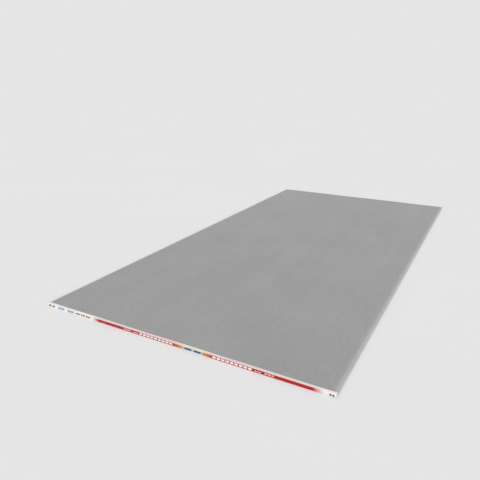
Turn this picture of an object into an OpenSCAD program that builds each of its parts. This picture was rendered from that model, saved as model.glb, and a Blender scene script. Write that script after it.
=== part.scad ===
// Gypsum wallboard: one full sheet with tapered long edges, lying with its
// grey back up and its tapered room side down. A printed paper tape covers
// each cut end.
//
// Millimetres. The origin is at the middle of the underside, X runs across
// the sheet, Y runs along it and Z points up.

/* [Sheet] */
// Width across the two long edges
sheet_w = 1219.2; // [600:0.1:1400]
// Length between the two cut ends
sheet_l = 2438.4; // [1200:0.1:3660]
// Thickness of the field between the tapers
sheet_t = 12.7; // [9.5:0.1:19]

/* [Tapered edges] */
// Width of each taper, in from its long edge
taper_w = 60; // [38:1:70]
// Thickness that the taper takes off at the long edge
taper_drop = 1.5; // [0.5:0.1:2.3]
// Radius that the face paper takes where it folds round the edge
fold_r = 1.2; // [0.5:0.1:2.5]

/* [End tape] */
// Thickness of the paper tape over each cut end
tape_t = 0.3; // [0.2:0.05:0.6]

/* [Hidden] */

// Segments in the arc of one folded corner
fold_steps = 6;
half_w = sheet_w / 2;
half_l = sheet_l / 2;
taper_angle = atan(taper_drop / taper_w);
// Height of the folded corner's centre above the flat underside: its arc
// touches both the sloping taper and the upright long edge
low_fold_z = taper_drop + fold_r / cos(taper_angle) - fold_r * tan(taper_angle);

// Points of an arc of the fold's radius, round [x, z], from one angle to another
function fold_arc(x, z, from, to) =
    [for (i = [0 : fold_steps])
        let (a = from + (to - from) * i / fold_steps)
        [x + fold_r * cos(a), z + fold_r * sin(a)]];

// The sheet's outline to the right of its middle, from the flat underside
// out along the taper, round the long edge and back along the upper face
function right_outline() = concat(
    [[half_w - taper_w, 0]],
    fold_arc(half_w - fold_r, low_fold_z, taper_angle - 90, 0),
    fold_arc(half_w - fold_r, sheet_t - fold_r, 0, 90));

// The same points mirrored to the left, in reverse order
function left_outline(right) =
    [for (i = [len(right) - 1 : -1 : 0]) [-right[i][0], right[i][1]]];

// The outline across the sheet, swept along Y from one place to another
module section_between(y_from, y_to) {
    right = right_outline();
    translate([0, y_to, 0])
        rotate([90, 0, 0])
            linear_extrude(y_to - y_from)
                polygon(concat(right, left_outline(right)));
}

// Paper-faced gypsum board
module gypsum_board() {
    color("darkgray")
        section_between(-half_l, half_l);
}

// Paper tape over one cut end, with the board's own outline
module end_tape(y_from) {
    color("firebrick")
        section_between(y_from, y_from + tape_t);
}

gypsum_board();
end_tape(-half_l - tape_t);  // end_tape_front
end_tape(half_l);  // end_tape_rear
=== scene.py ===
import math

import bpy
import numpy as np
from bpy.props import FloatProperty, FloatVectorProperty, PointerProperty
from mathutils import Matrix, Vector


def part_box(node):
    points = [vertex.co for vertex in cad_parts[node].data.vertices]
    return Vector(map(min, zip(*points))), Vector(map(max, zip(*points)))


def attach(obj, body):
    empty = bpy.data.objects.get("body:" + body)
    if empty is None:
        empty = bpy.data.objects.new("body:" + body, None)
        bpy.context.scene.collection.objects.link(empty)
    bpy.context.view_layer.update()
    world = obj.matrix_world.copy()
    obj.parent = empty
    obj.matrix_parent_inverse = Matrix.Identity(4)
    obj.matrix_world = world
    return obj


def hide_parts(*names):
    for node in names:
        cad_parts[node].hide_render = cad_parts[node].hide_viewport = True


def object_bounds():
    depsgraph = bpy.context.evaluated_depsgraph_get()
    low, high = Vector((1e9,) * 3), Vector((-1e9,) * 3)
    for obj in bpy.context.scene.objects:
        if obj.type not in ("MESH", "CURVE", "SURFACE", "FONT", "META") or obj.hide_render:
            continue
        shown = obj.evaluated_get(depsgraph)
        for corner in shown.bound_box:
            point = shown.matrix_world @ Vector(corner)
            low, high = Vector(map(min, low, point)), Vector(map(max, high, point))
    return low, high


bl_info = {
    "name": "Drywall Sheet",
    "version": (1, 0, 0),
    "blender": (4, 5, 0),
    "location": "3D View > Sidebar > Drywall",
    "description": "Makes a paper-faced gypsum board with printed tape over its cut ends",
    "category": "Add Mesh",
}

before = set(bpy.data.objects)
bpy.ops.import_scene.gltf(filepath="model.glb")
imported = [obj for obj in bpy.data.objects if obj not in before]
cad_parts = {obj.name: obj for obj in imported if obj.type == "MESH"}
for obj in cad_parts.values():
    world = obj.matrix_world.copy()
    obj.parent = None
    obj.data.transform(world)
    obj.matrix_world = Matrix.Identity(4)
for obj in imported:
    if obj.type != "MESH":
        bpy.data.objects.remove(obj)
CAD_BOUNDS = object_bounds()
BOARD_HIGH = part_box("gypsum_board")[1]
BODY = "root"

MM = 0.001
HALF_W = BOARD_HIGH.x
HALF_L = BOARD_HIGH.y
THICKNESS = BOARD_HIGH.z
TAPE_T = CAD_BOUNDS[1].y - BOARD_HIGH.y

# Board: depth of the hollow in its long edges, and how far the end of the back paper wanders
EDGE_HOLLOW = 0.08 * MM
STEP_WANDER = 0.35 * MM
# How far the wander reaches from the step, and the strips along the edges where the cockle grows
STEP_REACH = 3 * MM
COCKLE_FROM_SIDE = 40 * MM
COCKLE_FROM_END = 30 * MM
# Points in each stretch of the outline, and cross sections along the sheet and in each rounding
FIELD_POINTS, TAPER_POINTS, FOLD_POINTS, EDGE_POINTS = 15, 19, 8, 8
MARGIN_POINTS, STEP_POINTS, BACK_POINTS = 5, 4, 44
BOARD_SECTIONS, ROUNDING_SECTIONS = 250, 6

# Tape: wander and lift of its edge on the back, its ripple, and the gap below its lower edge
LAP_WANDER = 0.6 * MM
LAP_LIFT = 0.3 * MM
TAPE_RIPPLE = 0.04 * MM
CUT_UNEVEN = 0.12 * MM
# Share of the ripple that the lap has, and least share of the gap
LAP_RIPPLE = 0.3
LEAST_CUT = 0.2
# Points along its lap, its turn and its drop, and how much the cross sections crowd to its ends
LAP_POINTS, TURN_POINTS, DROP_POINTS = 14, 8, 18
CROWDING = 0.2

# Print: corner radius of a block, half the blur of its outline, the heights on the tape between
# which it turns paler, and how strongly that and the rubbed places show
CORNER_R = 0.8 * MM
INK_EDGE = 0.06 * MM
FOLD_PALE_FROM = THICKNESS - 1.3 * MM
FOLD_PALE_TO = THICKNESS + 0.3 * MM
FOLD_PALE_SHARE = 0.8
RUB_SHARE = 0.3

# Heights of noise: its usual range, and where a fibre, a dark fleck and a rubbed place rise out of it
NOISE_LOW, NOISE_HIGH = 0.3, 0.7
FIBRE_LOW, FIBRE_HIGH = 0.675, 0.745
FLECK_LOW, FLECK_HIGH = 0.69, 0.75
RUB_LOW, RUB_HIGH = 0.66, 0.74
PALE_FIBRE = (0.60, 0.595, 0.57, 1)
DARK_FIBRE = (0.08, 0.08, 0.085, 1)
# How strongly the fibres show in the back paper and in the face paper
BACK_FIBRES, FACE_FIBRES = 0.36, 0.12
# Darkest and lightest tone of the mottling
MOTTLE_DARK, MOTTLE_LIGHT = 0.955, 1.045
# Depth of the board paper's tooth and of the tape's creases
TOOTH_DEPTH = 0.12 * MM
CREASE_DEPTH = 0.2 * MM

# The tape's second UV map: its name, its runs, and the shares of the map that they take or leave
STACKED_MAP = "OFBake"
TAPE_RUNS = 6
RUN_SECTIONS = 54
ROWS_SHARE = 0.96
ROW_MARGIN = 0.03
U_MARGIN = 0.004
# Shares of a row's height where the outer face stops, and where the inner face starts and stops
OUTER_STOP, INNER_START, INNER_STOP = 0.84, 0.88, 0.96
# Shares of the band above the rows: where the first end face starts, its height, the second's start
CAP_START, CAP_HEIGHT, CAP_PITCH = 0.2, 0.2, 0.4

# Floor, in metres
FLOOR_RADII = (3.0, 12.0, 40.0, 120.0)
FLOOR_CORNERS = 96

# Lights, in degrees: how soft, how far from straight down, and turned from the front
KEY_SOFTNESS, KEY_SLANT, KEY_HEADING = 14, 46, 38
LOW_SOFTNESS, LOW_SLANT, LOW_HEADING = 25, 71, 50

# Camera, in metres and degrees: its place, how far it looks down and to the left, and how far off
CAMERA_PLACE = (0.91316, -2.34573, 0.87103)
CAMERA_DIP, CAMERA_TURN = 18.78, 28.99
CAMERA_REACH = 400


# ---------------------------------------------------------------- settings


class BoardSettings(bpy.types.PropertyGroup):
    """Edge shape and papers of the board"""

    taper_width: FloatProperty(
        name="Taper Width", description="Width of each taper, in from its long edge",
        default=60 * MM, min=0.03, max=0.08, unit="LENGTH")
    taper_drop: FloatProperty(
        name="Taper Drop", description="Thickness that the taper takes off at the long edge",
        default=1.5 * MM, min=0.0005, max=0.0025, unit="LENGTH")
    fold_radius: FloatProperty(
        name="Fold Radius", description="Radius of the face paper's fold round the edge",
        default=1.2 * MM, min=0.0005, max=0.0025, unit="LENGTH")
    paper_thickness: FloatProperty(
        name="Paper Thickness", description="Step where the back paper ends on the face paper",
        default=0.3 * MM, min=0.0001, max=0.0006, unit="LENGTH")
    end_rounding: FloatProperty(
        name="End Rounding", description="Radius of the worn corner between each cut end and the back",
        default=0.8 * MM, min=0.0002, max=0.003, unit="LENGTH")
    flap_margin: FloatProperty(
        name="Flap Margin", description="Strip of folded face paper that shows on the back",
        default=9 * MM, min=0.003, max=0.025, unit="LENGTH")
    cockle: FloatProperty(
        name="Cockle", description="Height of the faint waves in the back paper",
        default=0.12 * MM, min=0.0, max=0.0005, unit="LENGTH")
    back_colour: FloatVectorProperty(
        name="Back Paper", description="Grey of the recycled back paper",
        default=(0.268, 0.268, 0.267), min=0, max=1, subtype="COLOR")
    face_colour: FloatVectorProperty(
        name="Face Paper", description="Paler grey of the face paper, which wraps the long edges",
        default=(0.35, 0.35, 0.348), min=0, max=1, subtype="COLOR")


class TapeSettings(bpy.types.PropertyGroup):
    """Size and print of the end tapes"""

    lap: FloatProperty(
        name="Lap", description="How far the tape laps onto the back of the board",
        default=10 * MM, min=0.004, max=0.04, unit="LENGTH")
    paper_thickness: FloatProperty(
        name="Paper Thickness", description="Thickness of the tape",
        default=0.22 * MM, min=0.0001, max=0.0003, unit="LENGTH")
    paper_colour: FloatVectorProperty(
        name="Paper", description="Coated white of the tape",
        default=(0.71, 0.695, 0.67), min=0, max=1, subtype="COLOR")
    red: FloatVectorProperty(
        name="Red", description="Main printed ground",
        default=(0.36, 0.010, 0.015), min=0, max=1, subtype="COLOR")
    yellow: FloatVectorProperty(
        name="Yellow", description="Printed ground between the two reds",
        default=(0.45, 0.39, 0.105), min=0, max=1, subtype="COLOR")
    blue: FloatVectorProperty(
        name="Blue", description="The two patches on the yellow ground",
        default=(0.012, 0.085, 0.245), min=0, max=1, subtype="COLOR")
    pale_blue: FloatVectorProperty(
        name="Pale Blue", description="Ground of the panel at the left",
        default=(0.37, 0.46, 0.565), min=0, max=1, subtype="COLOR")
    slate: FloatVectorProperty(
        name="Slate", description="Small blocks on the pale blue panel",
        default=(0.12, 0.20, 0.31), min=0, max=1, subtype="COLOR")
    orange: FloatVectorProperty(
        name="Orange", description="Where the red fades into the yellow",
        default=(0.46, 0.15, 0.045), min=0, max=1, subtype="COLOR")
    maroon: FloatVectorProperty(
        name="Maroon", description="Blocks on the white ground",
        default=(0.17, 0.012, 0.022), min=0, max=1, subtype="COLOR")


class StageSettings(bpy.types.PropertyGroup):
    """Floor, light and camera"""

    floor_colour: FloatVectorProperty(
        name="Floor", description="Colour of the plain floor",
        default=(0.68, 0.68, 0.68), min=0, max=1, subtype="COLOR")
    key_strength: FloatProperty(
        name="Key", description="Strength of the soft key light from the front right",
        default=2.0, min=0, max=10)
    low_strength: FloatProperty(
        name="Low Light", description="Strength of the low light on the front and the right edge",
        default=1.1, min=0, max=10)
    fill_strength: FloatProperty(
        name="Fill", description="Strength of the even light from all round",
        default=0.60, min=0, max=4)
    lens: FloatProperty(
        name="Lens", description="Focal length of the camera in millimetres",
        default=34.95, min=10, max=200)


# ------------------------------------------------------------ mesh helpers


def waves(a, b, seed, length, count=9):
    """Smooth unevenness between about -1 and 1 over two coordinates.

    The sum of some sines, each with its own seeded direction, phase and
    wavelength round the given length, divided by the root of their number.
    """
    rng = np.random.default_rng(seed)
    total = np.zeros(np.broadcast(a, b).shape)
    for _ in range(count):
        heading, phase = rng.uniform(0, 2 * math.pi, 2)
        k = 2 * math.pi / (length * rng.uniform(0.6, 1.7))
        total += np.sin(k * (a * math.cos(heading) + b * math.sin(heading)) + phase)
    return total / math.sqrt(count)


def smooth(t):
    """Rises from 0 to 1 as t does, and is level at both ends: 3t^2 - 2t^3."""
    t = np.clip(t, 0, 1)
    return t * t * (3 - 2 * t)


def stretch_of(start, stop, count):
    """Evenly spaced values from start up to stop, which is left to the next stretch."""
    return np.linspace(start, stop, count, endpoint=False)


def tube_mesh(name, points, smooth_angle):
    """A closed mesh from a grid of points (stations, loop, 3).

    Each station is one closed loop. Neighbouring loops are joined by quads,
    and the first and last loops are filled by one flat face each. The faces
    point outwards where a loop runs clockwise, seen from the first station.
    """
    stations, loop = points.shape[:2]
    here = np.arange(stations * loop).reshape(stations, loop)
    after = np.roll(here, -1, axis=1)
    quads = np.stack([here[:-1], after[:-1], after[1:], here[1:]], axis=-1).reshape(-1, 4)
    caps = [here[0, ::-1].tolist(), here[-1].tolist()]
    mesh = bpy.data.meshes.new(name)
    mesh.from_pydata(points.reshape(-1, 3).tolist(), [], quads.tolist() + caps)
    mesh.validate()
    piece = bpy.data.objects.new(name, mesh)
    bpy.context.scene.collection.objects.link(piece)
    mesh.shade_smooth()
    mesh.set_sharp_from_angle(angle=smooth_angle)
    return piece


def point_attribute(piece, name, values):
    """Stores one number for each point of the mesh."""
    layer = piece.data.attributes.new(name, "FLOAT", "POINT")
    layer.data.foreach_set("value", values.astype(np.float32).ravel())


def point_uv(piece, name, u, v):
    """Stores a UV map whose corners take the values of their points."""
    mesh = piece.data
    corner = np.empty(len(mesh.loops), np.int32)
    mesh.loops.foreach_get("vertex_index", corner)
    layer = mesh.uv_layers.new(name=name)
    both = np.stack([u.ravel()[corner], v.ravel()[corner]], axis=1)
    layer.data.foreach_set("uv", both.astype(np.float32).ravel())


def stacked_uv(piece, across, along, rows):
    """Stores a second UV map, where a long strip is cut into equal runs, one above another.

    across holds each station's place along the strip, along the height of each
    point of a loop and of its end, from 0 to 1. In each run, U is the share of
    its length and V its row plus the height, over the number of rows. The two
    end faces lie unrolled in a narrow band above the rows: U is the height and
    V the side of the loop.
    """
    loop = len(along) - 1
    station, step = np.divmod(np.arange((len(across) - 1) * loop), loop)
    run_length = (len(across) - 1) // rows
    run = station // run_length
    start, stop = across[run * run_length], across[(run + 1) * run_length]
    place = across[station[:, None] + (0, 0, 1, 1)]
    u = (place - start[:, None]) / (stop - start)[:, None]
    height = along[step[:, None] + (0, 1, 1, 0)]
    v = (run[:, None] + ROW_MARGIN + (1 - 2 * ROW_MARGIN) * height) / rows
    sides = np.stack([u, v * ROWS_SHARE], axis=-1).reshape(-1, 2)

    half = loop // 2
    unrolled = np.concatenate([along[:half], along[half - 1::-1]]) / along[half - 1]
    side = np.repeat((0.0, 1.0), half)
    band = ROWS_SHARE + (1 - ROWS_SHARE) * (CAP_START + CAP_HEIGHT * side)
    first_cap = np.stack([unrolled, band], axis=1)[::-1]
    last_cap = np.stack([unrolled, band + CAP_PITCH * (1 - ROWS_SHARE)], axis=1)
    corners = np.concatenate([sides, first_cap, last_cap])
    corners[:, 0] = U_MARGIN + (1 - 2 * U_MARGIN) * corners[:, 0]
    layer = piece.data.uv_layers.new(name=STACKED_MAP)
    layer.data.foreach_set("uv", corners.astype(np.float32).ravel())


def finish_piece(piece, material, node):
    """Gives a piece its material and ties it to the CAD node that it stands for."""
    piece.data.materials.append(material)
    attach(piece, BODY)
    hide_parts(node)


# ---------------------------------------------------------- node helpers


def add_node(tree, kind, inputs=None, **settings):
    """A new node. Each input is a number, a colour or another node's output."""
    made = tree.nodes.new(kind)
    for name, value in settings.items():
        setattr(made, name, value)
    for key, value in (inputs or {}).items():
        if isinstance(value, bpy.types.NodeSocket):
            tree.links.new(value, made.inputs[key])
        else:
            made.inputs[key].default_value = value
    return made


def maths(tree, operation, *values):
    """The output of one Math node."""
    return add_node(tree, "ShaderNodeMath", dict(enumerate(values)), operation=operation).outputs[0]


def noise(tree, where, scale, detail=3.0, roughness=0.55, stretch=(1, 1, 1), turn=0.0):
    """Noise of about that many lumps a metre.

    It is turned about Z, in degrees, and then drawn out along each axis whose
    stretch is under 1.
    """
    if turn:
        where = add_node(
            tree, "ShaderNodeMapping",
            {"Vector": where, "Rotation": (0, 0, math.radians(turn))}).outputs[0]
    placed = add_node(tree, "ShaderNodeMapping", {"Vector": where, "Scale": stretch}).outputs[0]
    return add_node(
        tree, "ShaderNodeTexNoise",
        {"Vector": placed, "Scale": scale, "Detail": detail, "Roughness": roughness},
    ).outputs["Fac"]


def remap(tree, value, low, high, to_low=0.0, to_high=1.0):
    """A straight map from one range to another, held at its ends."""
    return add_node(
        tree, "ShaderNodeMapRange",
        {"Value": value, "From Min": low, "From Max": high, "To Min": to_low, "To Max": to_high},
    ).outputs[0]


def spread_noise(tree, value, to_low, to_high):
    """Noise whose usual range is mapped onto the given one."""
    return remap(tree, value, NOISE_LOW, NOISE_HIGH, to_low, to_high)


def mix_colour(tree, share, first, second, blend="MIX"):
    """The output of one colour Mix node, with inputs that are sockets or colours."""
    made = add_node(tree, "ShaderNodeMix", data_type="RGBA", blend_type=blend)
    for index, value in ((0, share), (6, first), (7, second)):
        if isinstance(value, bpy.types.NodeSocket):
            tree.links.new(value, made.inputs[index])
        else:
            made.inputs[index].default_value = value
    return made.outputs[2]


def rgba(colour):
    """A colour with full alpha."""
    return (*colour, 1.0)


def new_material(name, **constants):
    """A material with only a Principled shader, whose constant sockets are set."""
    material = bpy.data.materials.new(name)
    material.use_nodes = True
    shader = material.node_tree.nodes["Principled BSDF"]
    for socket, value in constants.items():
        shader.inputs[socket.replace("_", " ")].default_value = value
    return material, material.node_tree, shader


# -------------------------------------------------------------- materials


def fibres(tree, where, scale, turns):
    """Scattered short threads: the peaks of noise drawn out four times, lying several ways."""
    every = None
    for turn in turns:
        lumps = noise(tree, where, scale, detail=1, stretch=(1, 0.24, 1), turn=turn)
        thread = remap(tree, lumps, FIBRE_LOW, FIBRE_HIGH)
        every = thread if every is None else maths(tree, "MAXIMUM", every, thread)
    return every


def board_paper(settings):
    """Grey recycled back paper and paler face paper, told apart by the point attribute face_paper.

    Both have soft mottling, faint streaks along the sheet, pale and dark
    fibres and a fine tooth.
    """
    material, tree, shader = new_material(
        "Board paper", IOR=1.45, Specular_IOR_Level=0.28, Sheen_Weight=0.08, Sheen_Roughness=0.6)
    where = add_node(tree, "ShaderNodeTexCoord").outputs["Object"]
    is_face = add_node(tree, "ShaderNodeAttribute", attribute_name="face_paper").outputs["Fac"]

    ground = mix_colour(tree, is_face, rgba(settings.back_colour), rgba(settings.face_colour))
    clouds = spread_noise(tree, noise(tree, where, 3.2, detail=4), MOTTLE_DARK, MOTTLE_LIGHT)
    lines = noise(tree, where, 38, detail=4, stretch=(1, 0.025, 1))
    streaks = spread_noise(tree, lines, 0.972, 1.028)
    specks = noise(tree, where, 70, detail=5, roughness=0.65)
    mottle = spread_noise(tree, specks, MOTTLE_DARK, MOTTLE_LIGHT)
    tone = maths(tree, "MULTIPLY", maths(tree, "MULTIPLY", clouds, streaks), mottle)
    toned = mix_colour(tree, 1.0, ground, tone, "MULTIPLY")

    share = remap(tree, is_face, 0, 1, BACK_FIBRES, FACE_FIBRES)
    pale = fibres(tree, where, 540, turns=(12, 67, 128))
    with_pale = mix_colour(tree, maths(tree, "MULTIPLY", pale, share), toned, PALE_FIBRE)
    dark = maths(
        tree, "MAXIMUM",
        fibres(tree, where, 610, turns=(38, 101, 163)),
        remap(tree, noise(tree, where, 410, detail=2), FLECK_LOW, FLECK_HIGH))
    with_dark = mix_colour(tree, maths(tree, "MULTIPLY", dark, share), with_pale, DARK_FIBRE)
    tree.links.new(with_dark, shader.inputs["Base Color"])

    rough = remap(tree, mottle, MOTTLE_DARK, MOTTLE_LIGHT, 0.78, 0.92)
    tree.links.new(rough, shader.inputs["Roughness"])
    tooth = maths(
        tree, "ADD",
        noise(tree, where, 1100, detail=2),
        maths(tree, "MULTIPLY", noise(tree, where, 160, detail=4), 1.5))
    bump = add_node(
        tree, "ShaderNodeBump", {"Height": tooth, "Strength": 0.35, "Distance": TOOTH_DEPTH})
    tree.links.new(bump.outputs[0], shader.inputs["Normal"])
    return material


def blocks_group():
    """A node group that gives 1 inside a row of equal blocks with rounded corners, and 0 outside.

    The place within one pitch and the height give the distances past the
    straight part of a block, and a point is inside when their root sum of
    squares is less than the corner radius.
    """
    tree = bpy.data.node_groups.new("Row of blocks", "ShaderNodeTree")
    for name in ("U", "V", "From", "To", "Pitch", "Half Width", "Middle", "Half Height"):
        tree.interface.new_socket(name, in_out="INPUT", socket_type="NodeSocketFloat")
    tree.interface.new_socket("Inside", in_out="OUTPUT", socket_type="NodeSocketFloat")
    given = tree.nodes.new("NodeGroupInput").outputs
    out = tree.nodes.new("NodeGroupOutput")

    def past(value, middle, half):
        """Distance past the straight part, which stops a corner radius short of the half width."""
        away = maths(tree, "ABSOLUTE", maths(tree, "SUBTRACT", value, middle))
        straight = maths(tree, "SUBTRACT", half, CORNER_R)
        return maths(tree, "MAXIMUM", maths(tree, "SUBTRACT", away, straight), 0.0)

    from_start = maths(tree, "SUBTRACT", given["U"], given["From"])
    cell = maths(tree, "FLOORED_MODULO", from_start, given["Pitch"])
    across = past(cell, given["Half Width"], given["Half Width"])
    upright = past(given["V"], given["Middle"], given["Half Height"])
    squares = maths(
        tree, "ADD",
        maths(tree, "MULTIPLY", across, across),
        maths(tree, "MULTIPLY", upright, upright))
    distance = maths(tree, "SQRT", squares)
    block = remap(tree, distance, CORNER_R - INK_EDGE, CORNER_R + INK_EDGE, 1.0, 0.0)
    in_row = maths(
        tree, "MULTIPLY",
        maths(tree, "GREATER_THAN", from_start, 0.0),
        maths(tree, "LESS_THAN", given["U"], given["To"]))
    tree.links.new(maths(tree, "MULTIPLY", block, in_row), out.inputs["Inside"])
    return tree


def print_colour(tree, settings, u, v):
    """The print: grounds that fade into one another along the tape, and rows of plain blocks."""
    white, red = rgba(settings.paper_colour), rgba(settings.red)
    yellow, blue = rgba(settings.yellow), rgba(settings.blue)
    pale_blue, slate = rgba(settings.pale_blue), rgba(settings.slate)
    orange, maroon = rgba(settings.orange), rgba(settings.maroon)

    # Colour at a place along the tape, in millimetres
    grounds = (
        (0, white), (246, white), (281, red), (628, red), (655, orange), (684, yellow),
        (744, yellow), (770, orange), (796, red), (1146, red), (1184, white),
    )
    ramp = add_node(tree, "ShaderNodeValToRGB", {0: maths(tree, "DIVIDE", u, 2 * HALF_W)})
    stops = ramp.color_ramp.elements
    while len(stops) < len(grounds):
        stops.new(1.0)
    for stop, (place, ink) in zip(stops, grounds):
        stop.position = place * MM / (2 * HALF_W)
        stop.color = ink
    colour = ramp.outputs["Color"]

    # Ink, start, number of blocks, pitch, block's width, low and high edge, in millimetres
    rows = (
        (maroon, 6, 2, 20, 13, 3.0, 9.4),
        (pale_blue, 58, 2, 53, 38, 0.9, 11.4),
        (slate, 61, 3, 12, 9, 7.2, 9.8), (slate, 114, 3, 12, 9, 7.2, 9.8),
        (slate, 61, 2, 18, 14, 2.4, 5.0), (slate, 114, 2, 18, 14, 2.4, 5.0),
        (maroon, 159, 3, 27.5, 10, 3.0, 9.4), (maroon, 171, 3, 27.5, 10, 3.0, 9.4),
        (white, 408, 4, 8.8, 6.2, 7.2, 9.0), (white, 408, 3, 11.8, 9.2, 4.0, 5.8),
        (white, 452, 3, 8.5, 6, 3.4, 6.2),
        (white, 482, 9, 16.8, 12.8, 2.8, 9.6),
        (white, 678, 2, 38, 34.5, 1.4, 11.0), (blue, 680, 2, 38, 30.5, 2.2, 10.2),
        (white, 794, 9, 16.8, 12.8, 2.8, 9.6),
        (white, 951, 3, 8.5, 6, 3.4, 6.2),
        (white, 986, 4, 8.8, 6.2, 7.2, 9.0), (white, 986, 3, 11.8, 9.2, 4.0, 5.8),
        (maroon, 1197, 2, 9, 6.5, 3.0, 9.4),
    )
    group = blocks_group()
    for ink, start, count, pitch, width, low, high in rows:
        sizes = {
            "From": start, "To": start + count * pitch, "Pitch": pitch, "Half Width": width / 2,
            "Middle": (low + high) / 2, "Half Height": (high - low) / 2,
        }
        inputs = {name: value * MM for name, value in sizes.items()}
        row = add_node(tree, "ShaderNodeGroup", {"U": u, "V": v, **inputs}, node_tree=group)
        colour = mix_colour(tree, row.outputs[0], colour, ink)
    return colour


def tape_paper(settings):
    """Coated white tape with rubbed print, which turns paler towards the fold and stays pale over the
    lap onto the board.

    The UV map Print runs in metres: U along the tape from its left end, V up
    the end face from its lower edge and on over the fold and the lap.
    """
    material, tree, shader = new_material(
        "Printed end tape", IOR=1.5, Specular_IOR_Level=0.25, Coat_Weight=0.05, Coat_Roughness=0.35)
    where = add_node(tree, "ShaderNodeTexCoord").outputs["Object"]
    place = add_node(tree, "ShaderNodeUVMap", uv_map="Print").outputs[0]
    u, v, _ = add_node(tree, "ShaderNodeSeparateXYZ", {0: place}).outputs
    white = rgba(settings.paper_colour)
    ink = print_colour(tree, settings, u, v)
    # The print turns paler from just below the fold, and stays pale over the lap
    paler = remap(tree, v, FOLD_PALE_FROM, FOLD_PALE_TO, 0.0, FOLD_PALE_SHARE)
    paled_at_fold = mix_colour(tree, paler, ink, white)
    smudges = noise(tree, where, 45, detail=5, roughness=0.65)
    handling = spread_noise(tree, smudges, 0.94, 1.05)
    inked = mix_colour(tree, 1.0, paled_at_fold, handling, "MULTIPLY")
    scuffs = noise(tree, where, 260, detail=3, stretch=(0.25, 1, 1))
    rubs = remap(tree, scuffs, RUB_LOW, RUB_HIGH)
    rubbed = mix_colour(tree, maths(tree, "MULTIPLY", rubs, RUB_SHARE), inked, white)
    tree.links.new(rubbed, shader.inputs["Base Color"])
    rough = spread_noise(tree, noise(tree, where, 90), 0.36, 0.55)
    tree.links.new(rough, shader.inputs["Roughness"])
    creases = noise(tree, where, 120, detail=4, stretch=(0.3, 1, 1))
    bump = add_node(
        tree, "ShaderNodeBump", {"Height": creases, "Strength": 0.4, "Distance": CREASE_DEPTH})
    tree.links.new(bump.outputs[0], shader.inputs["Normal"])
    return material


def floor_paint(settings):
    """Matt pale floor with the faintest unevenness."""
    material, tree, shader = new_material("Studio floor", Specular_IOR_Level=0.0, Roughness=1.0)
    where = add_node(tree, "ShaderNodeTexCoord").outputs["Object"]
    tone = spread_noise(tree, noise(tree, where, 0.9), 0.995, 1.005)
    tree.links.new(
        mix_colour(tree, 1.0, rgba(settings.floor_colour), tone, "MULTIPLY"),
        shader.inputs["Base Color"])
    return material


# ------------------------------------------------------------------ shapes


def board_section(settings):
    """Half of the outline across the sheet, from the middle of the underside to the back's.

    Returns x, z and a face-paper mark for each point. The underside is level,
    then climbs along the taper. An arc folds it up into the long edge, which
    is very slightly hollow, another arc folds it onto the back, a narrow
    margin of face paper runs in, and a small step climbs onto the back paper,
    which is level again.
    """
    r, drop, taper = settings.fold_radius, settings.taper_drop, settings.taper_width
    lean = math.atan2(drop, taper)
    low_z = drop + r / math.cos(lean) - r * math.tan(lean)
    margin_z = THICKNESS - settings.paper_thickness
    high_z = margin_z - r
    centre_x = HALF_W - r
    step_x = HALF_W - settings.flap_margin

    field_x = stretch_of(0, HALF_W - taper, FIELD_POINTS)
    end_x = centre_x + r * math.sin(lean)
    taper_x = stretch_of(HALF_W - taper, end_x, TAPER_POINTS)
    taper_z = (taper_x - (HALF_W - taper)) * math.tan(lean)
    low_arc = stretch_of(lean - math.pi / 2, 0, FOLD_POINTS)
    rise = stretch_of(0, 1, EDGE_POINTS)
    hollow = EDGE_HOLLOW * np.sin(math.pi * rise)
    high_arc = stretch_of(0, math.pi / 2, FOLD_POINTS)
    margin_x = stretch_of(centre_x, step_x, MARGIN_POINTS)
    climb = stretch_of(0, 1, STEP_POINTS)
    back_x = np.linspace(step_x - settings.paper_thickness, 0, BACK_POINTS)

    x = np.concatenate([
        field_x, taper_x, centre_x + r * np.cos(low_arc), HALF_W - hollow,
        centre_x + r * np.cos(high_arc), margin_x,
        step_x - settings.paper_thickness * climb, back_x])
    z = np.concatenate([
        0 * field_x, taper_z, low_z + r * np.sin(low_arc), low_z + rise * (high_z - low_z),
        high_z + r * np.sin(high_arc), margin_z + 0 * margin_x,
        margin_z + settings.paper_thickness * smooth(climb), THICKNESS + 0 * back_x])
    face = np.ones_like(x)
    face[-len(back_x):] = 0
    return x, z, face


def rounded_drop(depth, radius):
    """How far a quarter round of that radius has fallen, at a depth into it.

    The radius less the root of radius^2 - depth^2.
    """
    depth = np.clip(depth, 0, radius)
    return radius - np.sqrt(radius * radius - depth * depth)


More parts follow.
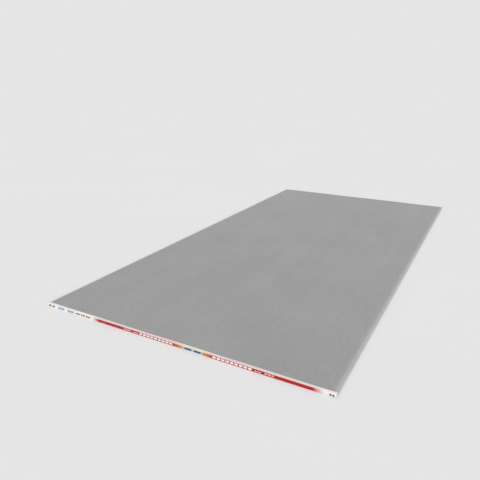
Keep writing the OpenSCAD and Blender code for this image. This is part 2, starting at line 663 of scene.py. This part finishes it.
def board_shape(settings):
    """The board: its outline across the sheet, carried along Y from the rear end to the front.

    The back paper rises and falls by the cockle, which fades out at its
    edges, and the line where it ends wanders by a few tenths of a millimetre.
    At each cut end the back turns down through a small quarter round.
    """
    x, z, face = board_section(settings)
    loop_x = np.concatenate([x, -x[-2:0:-1]])
    loop_z = np.concatenate([z, z[-2:0:-1]])
    loop_face = np.concatenate([face, face[-2:0:-1]])
    r = settings.end_rounding
    round_y = HALF_L - r + r * np.sin(np.linspace(0, math.pi / 2, ROUNDING_SECTIONS))
    between_y = np.linspace(HALF_L - r, -HALF_L + r, BOARD_SECTIONS)[1:-1]
    y = np.concatenate([round_y[::-1], between_y, -round_y])
    xs, ys = np.broadcast_arrays(loop_x[None, :], y[:, None])
    zs = np.minimum(loop_z, THICKNESS - rounded_drop(np.abs(ys) - (HALF_L - r), r))

    upper = loop_z > THICKNESS / 2
    from_edge = HALF_W - settings.flap_margin - np.abs(xs)
    from_end = HALF_L - np.abs(ys)
    on_back = upper * smooth(from_edge / COCKLE_FROM_SIDE) * smooth(from_end / COCKLE_FROM_END)
    cockle = settings.cockle * on_back * waves(xs, ys, seed=4, length=0.33)
    near_step = upper * np.exp(-(from_edge / STEP_REACH) ** 2)
    wander = STEP_WANDER * near_step * waves(ys, 0 * ys, seed=9, length=0.45) * np.sign(xs)
    points = np.stack([xs + wander, ys, zs + cockle], axis=-1)

    piece = tube_mesh("papered_board", points, smooth_angle=math.radians(35))
    point_attribute(piece, "face_paper", np.broadcast_to(loop_face, xs.shape))
    return piece


def underside_z(x, settings):
    """Height of the board's lower outline at x: level, then up the taper, then round the fold."""
    r = settings.fold_radius
    lean = math.atan2(settings.taper_drop, settings.taper_width)
    slope = np.clip(np.abs(x) - (HALF_W - settings.taper_width), 0, None) * math.tan(lean)
    fold = settings.taper_drop - r * math.tan(lean) + rounded_drop(np.abs(x) - (HALF_W - r), r)
    return np.where(np.abs(x) > HALF_W - r, np.maximum(slope, fold), slope)


def back_z(x, settings):
    """Height of the board's upper outline at x: level, then round the fold."""
    r = settings.fold_radius
    return THICKNESS - rounded_drop(np.abs(x) - (HALF_W - r), r)


def tape_shape(name, facing, board, tape):
    """One end tape: a strip of paper bent over the board's end, carried across the sheet.

    At each x its outer face starts on the back, runs level to the cut end,
    turns down through a quarter circle and drops to the board's lower
    outline. The loop is closed by the same line moved in by the paper's
    thickness. The edge on the back wanders and lifts a little, and the lower
    edge is cut a little unevenly. facing is -1 at the front end, 1 at the rear.
    """
    spread = np.linspace(-1, 1, RUN_SECTIONS * TAPE_RUNS + 1)
    x = HALF_W * ((1 - CROWDING) * spread + CROWDING * np.sin(spread * math.pi / 2))
    r = board.end_rounding
    outer_r = r + TAPE_T
    top = back_z(x, board)[:, None]
    uneven = waves(x, 0 * x, seed=21 + facing, length=0.5)[:, None]
    frayed = waves(x, 0 * x, seed=51 + facing, length=0.02)[:, None]
    short = np.clip(1 + 0.5 * frayed + 0.5 * uneven, LEAST_CUT, None)
    low = underside_z(x, board)[:, None] + CUT_UNEVEN * short

    lap = np.linspace(0, 1, LAP_POINTS)
    turn = np.linspace(0, math.pi / 2, TURN_POINTS)[1:-1]
    down = np.linspace(0, 1, DROP_POINTS)
    lap_y = -r - (tape.lap - r + LAP_WANDER * uneven) * (1 - lap)
    face_z = low + (top - r - low) * (1 - down)
    whole = np.ones_like(top)
    outer_y = np.hstack([lap_y, whole * (outer_r * np.sin(turn) - r), whole * (TAPE_T + 0 * down)])
    outer_z = np.hstack([top + TAPE_T + 0 * lap, top - r + outer_r * np.cos(turn), face_z])
    normal_y = np.hstack([0 * lap, np.sin(turn), 1 + 0 * down])
    normal_z = np.hstack([1 + 0 * lap, np.cos(turn), 0 * down])
    fold_v = THICKNESS - r
    lap_v = fold_v + outer_r * math.pi / 2
    along = np.hstack([lap_v - r - lap_y, whole * (fold_v + outer_r * (math.pi / 2 - turn)), face_z])

    curl = np.hstack([(1 - lap) ** 3, 0 * turn, 0 * down])
    peel = LAP_LIFT * (0.6 + 0.4 * waves(x, 0 * x, seed=33 + facing, length=0.28))[:, None]
    ripple = np.hstack([LAP_RIPPLE + 0 * lap, 0 * turn, np.sin(math.pi * down)])
    puffed = TAPE_RIPPLE * waves(x, 0 * x, seed=71 + facing, length=0.09)[:, None] * ripple
    outer_y = outer_y + puffed * normal_y
    outer_z = outer_z + peel * curl + puffed * normal_z
    inner_y = outer_y - tape.paper_thickness * normal_y
    inner_z = outer_z - tape.paper_thickness * normal_z

    loop_y = np.hstack([outer_y, inner_y[:, ::-1]])
    loop_z = np.hstack([outer_z, inner_z[:, ::-1]])
    v = np.hstack([along, along[:, ::-1]])
    loop_x = x[:, None] + 0 * loop_y
    points = np.stack([loop_x, facing * (HALF_L + loop_y), loop_z], axis=-1)
    if facing > 0:
        points, v, loop_x = points[::-1], v[::-1], loop_x[::-1]
    piece = tube_mesh(name, points, smooth_angle=math.radians(40))
    point_uv(piece, "Print", HALF_W - facing * loop_x, v)
    outside = np.linspace(0, OUTER_STOP, outer_y.shape[1])
    inside = np.linspace(INNER_START, INNER_STOP, outer_y.shape[1])
    stacked_uv(piece, points[:, 0, 0], np.concatenate([outside, inside, [1.0]]), TAPE_RUNS)
    return piece


# --------------------------------------------------------------- operators


class DRYWALL_OT_board(bpy.types.Operator):
    """Makes the paper-faced board with its tapered, folded long edges"""

    bl_idname = "drywall.board"
    bl_label = "Board"

    def execute(self, context):
        settings = context.scene.drywall_board
        piece = board_shape(settings)
        finish_piece(piece, board_paper(settings), "gypsum_board")
        return {"FINISHED"}


class DRYWALL_OT_end_tapes(bpy.types.Operator):
    """Makes the two printed tapes that cover the cut ends and lap onto the back"""

    bl_idname = "drywall.end_tapes"
    bl_label = "End Tapes"

    def execute(self, context):
        board, tape = context.scene.drywall_board, context.scene.drywall_tape
        material = tape_paper(tape)
        for name, facing in (("front", -1), ("rear", 1)):
            piece = tape_shape(f"printed_tape_{name}", facing, board, tape)
            finish_piece(piece, material, f"end_tape_{name}")
        return {"FINISHED"}


class DRYWALL_OT_stage(bpy.types.Operator):
    """Makes the plain floor, the soft light and the camera"""

    bl_idname = "drywall.stage"
    bl_label = "Stage"

    def execute(self, context):
        scene = context.scene
        settings = scene.drywall_stage
        make_floor(settings)
        make_light(scene, settings)
        make_camera(scene, settings)
        return {"FINISHED"}


def make_floor(settings):
    """A level disc round the sheet: rings of points at growing radii."""
    angles = np.linspace(0, 2 * math.pi, FLOOR_CORNERS, endpoint=False)
    radii = np.array(FLOOR_RADII)
    x = radii[:, None] * np.cos(angles)
    y = radii[:, None] * np.sin(angles)
    points = np.stack([x, y, 0 * x], axis=-1)
    rings, count = x.shape
    here = np.arange(rings * count).reshape(rings, count)
    after = np.roll(here, -1, axis=1)
    quads = np.stack([here[:-1], here[1:], after[1:], after[:-1]], axis=-1).reshape(-1, 4)
    mesh = bpy.data.meshes.new("studio_floor")
    mesh.from_pydata(points.reshape(-1, 3).tolist(), [], quads.tolist() + [here[0].tolist()])
    floor = bpy.data.objects.new("studio_floor", mesh)
    bpy.context.scene.collection.objects.link(floor)
    mesh.materials.append(floor_paint(settings))


def make_sun(scene, name, strength, softness, slant, heading):
    """A soft sun. It slants away from straight down by slant, turned to heading, in degrees."""
    data = bpy.data.lights.new(name, "SUN")
    data.energy = strength
    data.angle = math.radians(softness)
    lamp = bpy.data.objects.new(name, data)
    lamp.rotation_euler = (math.radians(slant), 0, math.radians(heading))
    scene.collection.objects.link(lamp)


def make_light(scene, settings):
    """Two soft suns from the front right, one high and one low, and an even fill.

    The backdrop is as bright as the open floor, so no horizon shows: the
    floor's colour times the fill, plus each sun's strength times the cosine
    of its slant, over pi.
    """
    make_sun(scene, "Key", settings.key_strength, KEY_SOFTNESS, KEY_SLANT, KEY_HEADING)
    make_sun(scene, "Low", settings.low_strength, LOW_SOFTNESS, LOW_SLANT, LOW_HEADING)
    suns = (
        settings.key_strength * math.cos(math.radians(KEY_SLANT))
        + settings.low_strength * math.cos(math.radians(LOW_SLANT)))
    open_floor = settings.floor_colour[1] * (settings.fill_strength + suns / math.pi)

    world = bpy.data.worlds.new("Studio")
    world.use_nodes = True
    tree = world.node_tree
    fill = tree.nodes["Background"]
    fill.inputs["Color"].default_value = (1, 1, 1, 1)
    fill.inputs["Strength"].default_value = settings.fill_strength
    backdrop = add_node(
        tree, "ShaderNodeBackground", {"Color": (1, 1, 1, 1), "Strength": open_floor})
    seen = add_node(tree, "ShaderNodeLightPath").outputs["Is Camera Ray"]
    shown = add_node(
        tree, "ShaderNodeMixShader", {0: seen, 1: fill.outputs[0], 2: backdrop.outputs[0]})
    tree.links.new(shown.outputs[0], tree.nodes["World Output"].inputs["Surface"])
    scene.world = world
    scene.view_settings.view_transform = "Standard"


def make_camera(scene, settings):
    """The camera stands off the front right corner and looks along and down the sheet."""
    data = bpy.data.cameras.new("Camera")
    data.lens = settings.lens
    data.clip_end = CAMERA_REACH
    camera = bpy.data.objects.new("Camera", data)
    camera.location = CAMERA_PLACE
    camera.rotation_euler = (math.radians(90 - CAMERA_DIP), 0, math.radians(CAMERA_TURN))
    scene.collection.objects.link(camera)
    scene.camera = camera


class DRYWALL_PT_panel(bpy.types.Panel):
    """Lists the steps that make the sheet"""

    bl_idname = "DRYWALL_PT_panel"
    bl_label = "Drywall Sheet"
    bl_space_type = "VIEW_3D"
    bl_region_type = "UI"
    bl_category = "Drywall"

    def draw(self, context):
        for operator in OPERATORS:
            self.layout.operator(operator.bl_idname)


OPERATORS = (DRYWALL_OT_board, DRYWALL_OT_end_tapes, DRYWALL_OT_stage)
SETTINGS = {
    "drywall_board": BoardSettings,
    "drywall_tape": TapeSettings,
    "drywall_stage": StageSettings,
}
CLASSES = (*SETTINGS.values(), *OPERATORS, DRYWALL_PT_panel)


def register():
    """Registers the classes and gives the scene its settings."""
    for cls in CLASSES:
        bpy.utils.register_class(cls)
    for name, group in SETTINGS.items():
        setattr(bpy.types.Scene, name, PointerProperty(type=group))


def unregister():
    """Takes the settings and the classes away again."""
    for name in SETTINGS:
        delattr(bpy.types.Scene, name)
    for cls in reversed(CLASSES):
        bpy.utils.unregister_class(cls)


def main():
    """Makes every piece and the stage."""
    register()
    bpy.ops.drywall.board()
    bpy.ops.drywall.end_tapes()
    bpy.ops.drywall.stage()


if __name__ == "__main__":
    main()
